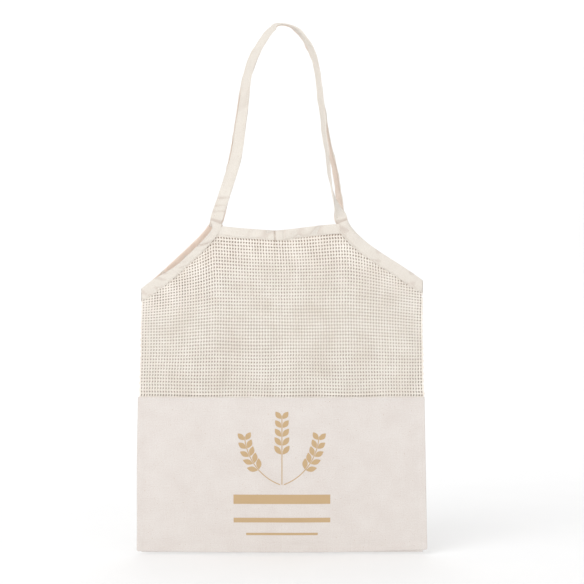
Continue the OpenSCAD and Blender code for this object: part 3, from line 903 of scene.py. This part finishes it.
def handle(name, loop):
    shell = Shell()
    u = np.linspace(-ROOT_RUN, ROOT_RUN, 420)
    place, across, face = strap_frame(u, loop)
    along = along_of(place)
    w, n = strap_section()
    tucked_in = smooth((np.abs(u) - 0.99) / 0.03)[:, None]
    relief = strap_relief(along[:, None], w, loop)
    free = loose(u)[:, None]
    bend = strap_bend(along[:, None], w, loop, free)
    height = (n + np.sign(n) * relief * (np.abs(n) > 0.5)) * lerp(1, ROOT_THIN, tucked_in) + bend
    wide = w * (1 - ROOT_NARROW * tucked_in)
    points = place[:, None] + wide[..., None] * across[:, None] + height[..., None] * face[:, None]
    # Painted shade: the back strap's inner face takes the warm inside tint
    inner = np.clip(-n / STRAP_HALF, 0, 1) * (0.8 if loop == "back" else 0.0)
    # Painted crease shade in the stitch grooves, wrinkles and root creases
    inner = inner + crease_shade(relief * (n != 0) + 0.9 * bend + 0.3, 0.42)
    # Painted shade where the strap goes into its binding
    inner = inner - 0.4 * smooth((np.abs(u) - 0.997) / 0.006)[:, None]
    shell.tube(points, np.stack(np.broadcast_arrays(along[:, None], w + 3 * n, inner), axis=-1))
    return shell.piece(name, TAPE)


# ---------------- stitches

STITCH_PITCH = 3.1
STITCH_LONG = 0.74      # share of the pitch that shows as thread
STITCH_HALF = 0.24      # half thickness of the thread
STITCH_RISE = 0.22


def stitch(shell, a, b, out):
    """One stitch: a short thread that dips into the cloth at both ends."""
    t = np.array([0.0, 0.18, 0.5, 0.82, 1.0])
    lift = np.array([-0.5, 0.6, 1.0, 0.6, -0.5]) * STITCH_RISE
    path = a + (b - a) * t[:, None] + out * lift[:, None]
    thread(shell, path, STITCH_HALF * np.array([0.7, 1, 1, 1, 0.7]))


def stitch_line(shell, line, out):
    """Stitches along a line of points; out is the direction away from the cloth at each."""
    along = along_of(line)

    def at(points, s):
        return np.array([np.interp(s, along, points[:, k]) for k in range(3)])

    for s in np.arange(STITCH_PITCH / 2, along[-1] - STITCH_PITCH, STITCH_PITCH):
        away = at(out, s)
        stitch(shell, at(line, s), at(line, s + STITCH_PITCH * STITCH_LONG), away / np.linalg.norm(away))


def handle_stitching(name, loop):
    shell = Shell()
    u = np.linspace(-0.985, 0.985, 500)
    place, across, face = strap_frame(u, loop)
    before = along_of(strap_frame(np.linspace(-ROOT_RUN, u[0], 20), loop)[0])[-1]
    along = along_of(place) + before
    for w in (TAPE_W / 2 - STRAP_ROW, -TAPE_W / 2 + STRAP_ROW):
        bend = strap_bend(along, w, loop, loose(u))
        for side in (1, -1):
            height = side * (STRAP_HALF + strap_relief(along, w, loop)) + bend
            stitch_line(shell, place + w * across + height[:, None] * face, side * face)
    return shell.piece(name, THREAD)


def mouth_stitching(name, front):
    shell = Shell()
    w = MOUTH_TAPE - MOUTH_ROW
    half = X_ROOT - TAPE_W - 1
    x = np.linspace(-half, half, 200)
    for side in (1, -1):
        height = side * (MOUTH_STITCH_N + mouth_relief(x, w, front))
        line = on_cloth(x, mouth_z(x, front) + 1.0 - w, height, front)
        stitch_line(shell, line, np.broadcast_to([0.0, -side if front else side, 0.0], line.shape))
    return shell.piece(name, THREAD)


def armhole_stitching(name, hand):
    shell = Shell()
    w = np.array([TAPE_W - ARMHOLE_ROW])
    for face in (1, -1):
        line, out = [], []
        for (side, place), run in zip(armhole_route(), armhole_length(hand)):
            height = face * (MOUTH_STITCH_N + armhole_relief(run, w, hand))
            line.append(armhole_ring(w, height, hand, side, place)[0])
            if side is None:
                out.append([face * hand * math.sin(place), -face * math.cos(place), 0.0])
            else:
                out.append([0.0, -face if side else face, 0.0])
        stitch_line(shell, np.array(line)[3:-3], np.array(out)[3:-3])
    return shell.piece(name, THREAD)


# ---------------- seams inside

ALLOWANCE = 10
OVERLOCK_STEP = 1.5


def flat_strip(shell, x, z, flutter):
    """A narrow cloth strip in the seam between the two sides of the bag."""
    outer = np.stack([x, -0.5 + flutter, z], axis=-1)
    inner = np.stack([x, 0.5 + flutter, z], axis=-1)
    shell.sheet(outer, inner, np.stack([x, z], axis=-1))


def swing(count, low, high):
    """Turns to and fro of an overlock thread."""
    return np.where(np.arange(count) % 2 == 0, low, high)


def waist_seam(name, front):
    shell = Shell()
    half = side_x(Z_WAIST) - 12
    x, z = np.meshgrid(np.linspace(-half, half, 160), Z_WAIST - 1 - np.linspace(0, ALLOWANCE, 7))
    n = -1.35 + 0.18 * waves(x, z, 91, 9)
    shell.sheet(on_cloth(x, z, n + 0.35, front), on_cloth(x, z, n - 0.35, front), np.stack([x, z], axis=-1))
    return shell.piece(name, CALICO)


def waist_overlock(name, front):
    shell = Shell()
    half = side_x(Z_WAIST) - 12
    x = np.arange(-half, half, OVERLOCK_STEP)
    z = np.full(x.shape, Z_WAIST - ALLOWANCE - 1.2)
    for n in (-0.8, -1.9):
        thread(shell, on_cloth(x, z - swing(len(x), 0.5, -2.6), n, front), 0.22)
    thread(shell, on_cloth(x, z - 0.5, -1.35, front), 0.3)
    return shell.piece(name, THREAD)


def side_seam(name, hand):
    """The allowance down one side: net above the waist and calico below it."""
    shell = Shell()
    low = np.linspace(Z_HEM + 12, Z_WAIST - 1, 90)
    z, w = np.meshgrid(low, np.linspace(0.6, ALLOWANCE, 7), indexing="ij")
    flat_strip(shell, hand * (side_x(z) - w), z, 0.2 * waves(z, w, 93, 12))
    top = Z_SHOULDER + SHOULDER_RISE[hand] - TAPE_W + 2

    def beside_seam(x, z, _):
        past = side_x(z) - np.abs(x)
        return (past > 0.8) & (past < ALLOWANCE + 0.4) & (z > Z_WAIST - 1) & (z < top)

    def flat(x, z, *_):
        return np.stack([x, 0 * x, z], axis=-1)

    knit(shell, True, hand, range(46, WALES), beside_seam, flat)
    return shell.piece(name, NET)


def side_overlock(name, hand):
    shell = Shell()
    z = np.arange(Z_HEM + 12, Z_SHOULDER - TAPE_W - 3, OVERLOCK_STEP)
    edge = side_x(z) - ALLOWANCE - 0.2
    for y in (-0.85, 0.85):
        x = hand * (edge - swing(len(z), 0.4, -2.4))
        thread(shell, np.stack([x, np.full(z.shape, y), z], axis=-1), 0.2)
    thread(shell, np.stack([hand * (edge - 0.4), 0 * z, z], axis=-1), 0.3)
    return shell.piece(name, THREAD)


def bottom_seam(name):
    shell = Shell()
    x, z = np.meshgrid(np.linspace(-X_HEM + 6, X_HEM - 6, 170), Z_HEM + np.linspace(0.8, ALLOWANCE, 7))
    flat_strip(shell, x, z, 0.2 * waves(x, z, 95, 12))
    return shell.piece(name, CALICO)


def bottom_overlock(name):
    shell = Shell()
    x = np.arange(-X_HEM + 14, X_HEM - 14, OVERLOCK_STEP)
    for y in (-0.85, 0.85):
        z = Z_HEM + ALLOWANCE + 0.2 + swing(len(x), 0.4, -2.4)
        thread(shell, np.stack([x, np.full(x.shape, y), z], axis=-1), 0.2)
    thread(shell, np.stack([x, 0 * x, np.full(x.shape, Z_HEM + ALLOWANCE + 0.6)], axis=-1), 0.3)
    return shell.piece(name, THREAD)


# ---------------- the print

EMBLEM_H = 92.0
EMBLEM_FOOT = Z_PRINT - EMBLEM_H + 0.1
LEAF_PAIRS = 5
INK_N = CALICO_T / 2 + 0.10
BANDS = ((19, 62, 12), (46, 62, 6), (64, 46, 3))   # drop below the emblem, half length, height


def ink_patch(shell, x, z):
    """Ink over a grid of places, as thick as a printed film."""
    outer = canvas_point(x, z, True, INK_N + 0.04)
    inner = canvas_point(x, z, True, INK_N - 0.12)
    shell.sheet(outer, inner, np.stack([x, z], axis=-1))


def sprig_point(f, long, lean_deg, bend_deg):
    a = np.radians(90 - lean_deg - bend_deg * f / 2)
    return np.cos(a) * long * f, np.sin(a) * long * f


def ink_leaf(shell, x, z, heading, long, wide):
    f = np.linspace(0.02, 0.98, 12)[:, None]
    across = np.linspace(-1, 1, 7)[None, :]
    half = 0.15 + wide / 2 * np.sin(math.pi * f)
    way = np.array([math.cos(heading), math.sin(heading)])
    px = x + long * f * way[0] - across * half * way[1]
    pz = z + long * f * way[1] + across * half * way[0]
    ink_patch(shell, px, pz)


def ink_sprig(shell, long, lean_deg, bend_deg, shift):
    f = np.linspace(0, 0.97, 26)
    x, z = sprig_point(f, long, lean_deg, bend_deg)
    a = np.radians(90 - lean_deg - bend_deg * f)
    across = np.linspace(-0.6, 0.6, 3)[None, :]
    px = shift + x[:, None] - across * np.sin(a)[:, None]
    pz = EMBLEM_FOOT + z[:, None] + across * np.cos(a)[:, None]
    ink_patch(shell, px, pz)
    for i in range(1, LEAF_PAIRS + 1):
        f = 0.3 + 0.62 * i / LEAF_PAIRS
        x, z = sprig_point(f, long, lean_deg, bend_deg)
        a = math.radians(90 - lean_deg - bend_deg * f)
        for side in (-1, 1):
            px = shift + x - side * 1.0 * math.sin(a)
            pz = EMBLEM_FOOT + z + side * 1.0 * math.cos(a)
            ink_leaf(shell, px, pz, a + math.radians(38 * side), lerp(16.5, 11.25, f), 6.5)


def print_piece(name):
    shell = Shell()
    ink_sprig(shell, EMBLEM_H, 0, 0, 0)
    for side in (-1, 1):
        ink_sprig(shell, 0.86 * EMBLEM_H, 70 * side, -70 * side, 2.5 * side)
    for drop, half, high in BANDS:
        rows = max(3, int(high / 1.5))
        heights = EMBLEM_FOOT - drop + np.linspace(-high / 2, high / 2, rows)
        x, z = np.meshgrid(np.linspace(-half, half, 60), heights)
        ink_patch(shell, x, z)
    return shell.piece(name, INK, soft=False)


# ---------------- build and attach

def attach(piece, body, slot, *nodes):
    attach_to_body(piece, body)
    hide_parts(*nodes)
    return piece


for front, side in ((True, "front"), (False, "back")):
    for hand, word in ((-1, "left"), (1, "right")):
        net = attach(net_half(f"{side}_net_{word}", front, hand), "bag", "net", f"{side}_mesh_panel")
    panel = attach(canvas_panel(f"{side}_calico", front), "bag", "calico", f"{side}_canvas_panel")
    rim = attach(mouth_binding(f"{side}_mouth_binding", front), "bag", "tape", f"{side}_top_binding")
    attach(mouth_stitching(f"{side}_mouth_stitches", front), "bag", "thread", f"{side}_top_stitching")
    seam = attach(waist_seam(f"{side}_waist_allowance", front), "bag", "calico", f"{side}_waist_seam")
    attach(waist_overlock(f"{side}_waist_overlocking", front), "bag", "thread", f"{side}_waist_overlock")

for hand, word in ((-1, "left"), (1, "right")):
    rim = attach(armhole_binding(f"{word}_armhole_tape", hand), "bag", "tape", f"{word}_armhole_binding")
    attach(armhole_stitching(f"{word}_armhole_stitches", hand), "bag", "thread", f"{word}_armhole_stitching")
    seam = attach(side_seam(f"{word}_side_allowance", hand), "bag", "net", f"{word}_side_seam")
    attach(side_overlock(f"{word}_side_overlocking", hand), "bag", "thread", f"{word}_side_overlock")

hem = attach(bottom_seam("hem_allowance"), "bag", "calico", "bottom_seam")
attach(bottom_overlock("hem_overlocking"), "bag", "thread", "bottom_overlock")
attach(print_piece("front_leaf_print"), "bag", "ink", "front_print")

for loop in ("front", "back"):
    for made, slot, node in (
        (handle(f"{loop}_strap", loop), "tape", f"{loop}_handle"),
        (handle_stitching(f"{loop}_strap_stitches", loop), "thread", f"{loop}_handle_stitching"),
    ):
        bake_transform(made)
        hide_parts(node)


# ---------------- floor, light and camera

FLOOR_DROP = 3          # the floor is this far below the hem


def stage_material():
    n = Nodes("studio_white")
    place = n.add("TexCoord").outputs["Object"]
    speck = n.noise(place, 9.0, 3.0)
    n.put(n.shader.inputs["Base Color"], n.mix(speck, (0.93, 0.93, 0.93, 1), (0.95, 0.95, 0.95, 1)))
    n.put(n.shader.inputs["Roughness"], n.ramp(speck, 0.3, 0.7, 0.85, 0.95))
    n.shader.inputs["Specular IOR Level"].default_value = 0.1
    return n.material


def studio():
    """A floor that curves up into a backdrop."""
    floor_z = Z_HEM - FLOOR_DROP
    radius, back, high = 500.0, 2400.0, 3200.0
    turn = np.linspace(0, math.pi / 2, 17)
    bend = [(back + radius * math.sin(a), floor_z + radius * (1 - math.cos(a))) for a in turn]
    curve = [(-3200.0, floor_z)] + bend + [(back + radius, high)]
    points = [(x, y, z) for y, z in curve for x in (-3500.0, 3500.0)]
    faces = [(2 * i, 2 * i + 1, 2 * i + 3, 2 * i + 2) for i in range(len(curve) - 1)]
    mesh = bpy.data.meshes.new("studio_floor")
    mesh.from_pydata((np.array(points) * MM).tolist(), [], faces)
    mesh.polygons.foreach_set("use_smooth", np.ones(len(mesh.polygons), bool))
    mesh.materials.append(stage_material())
    floor = bpy.data.objects.new("studio_floor", mesh)
    bpy.context.scene.collection.objects.link(floor)


def area_light(name, place, aim, size, power):
    light = bpy.data.lights.new(name, "AREA")
    light.shape = "DISK"
    light.size = size
    light.energy = power
    lamp = bpy.data.objects.new(name, light)
    lamp.location = place
    lamp.rotation_euler = (Vector(aim) - Vector(place)).to_track_quat("-Z", "Y").to_euler()
    bpy.context.scene.collection.objects.link(lamp)


def light_and_camera():
    area_light("key", (-1.5, -2.4, 1.6), MIDDLE, 2.6, 37)
    area_light("fill", (0.9, -2.2, -0.5), (0, 0, -0.6), 1.4, 7)
    area_light("backdrop_wash", (0, 1.9, 1.9), (0, 2.8, -0.4), 1.6, 13)
    world = bpy.data.worlds.new("studio_air")
    world.use_nodes = True
    air = world.node_tree.nodes["Background"]
    air.inputs["Color"].default_value = (1.0, 1.0, 1.0, 1.0)
    air.inputs["Strength"].default_value = 0.82
    bpy.context.scene.world = world
    bpy.context.scene.view_settings.view_transform = "Standard"
    camera = bpy.data.cameras.new("camera")
    camera.lens = 100
    camera.sensor_width = 36
    seen = bpy.data.objects.new("camera", camera)
    seen.location = CAMERA
    seen.rotation_euler = (math.pi / 2, 0, 0)
    bpy.context.scene.collection.objects.link(seen)
    bpy.context.scene.camera = seen


studio()
light_and_camera()
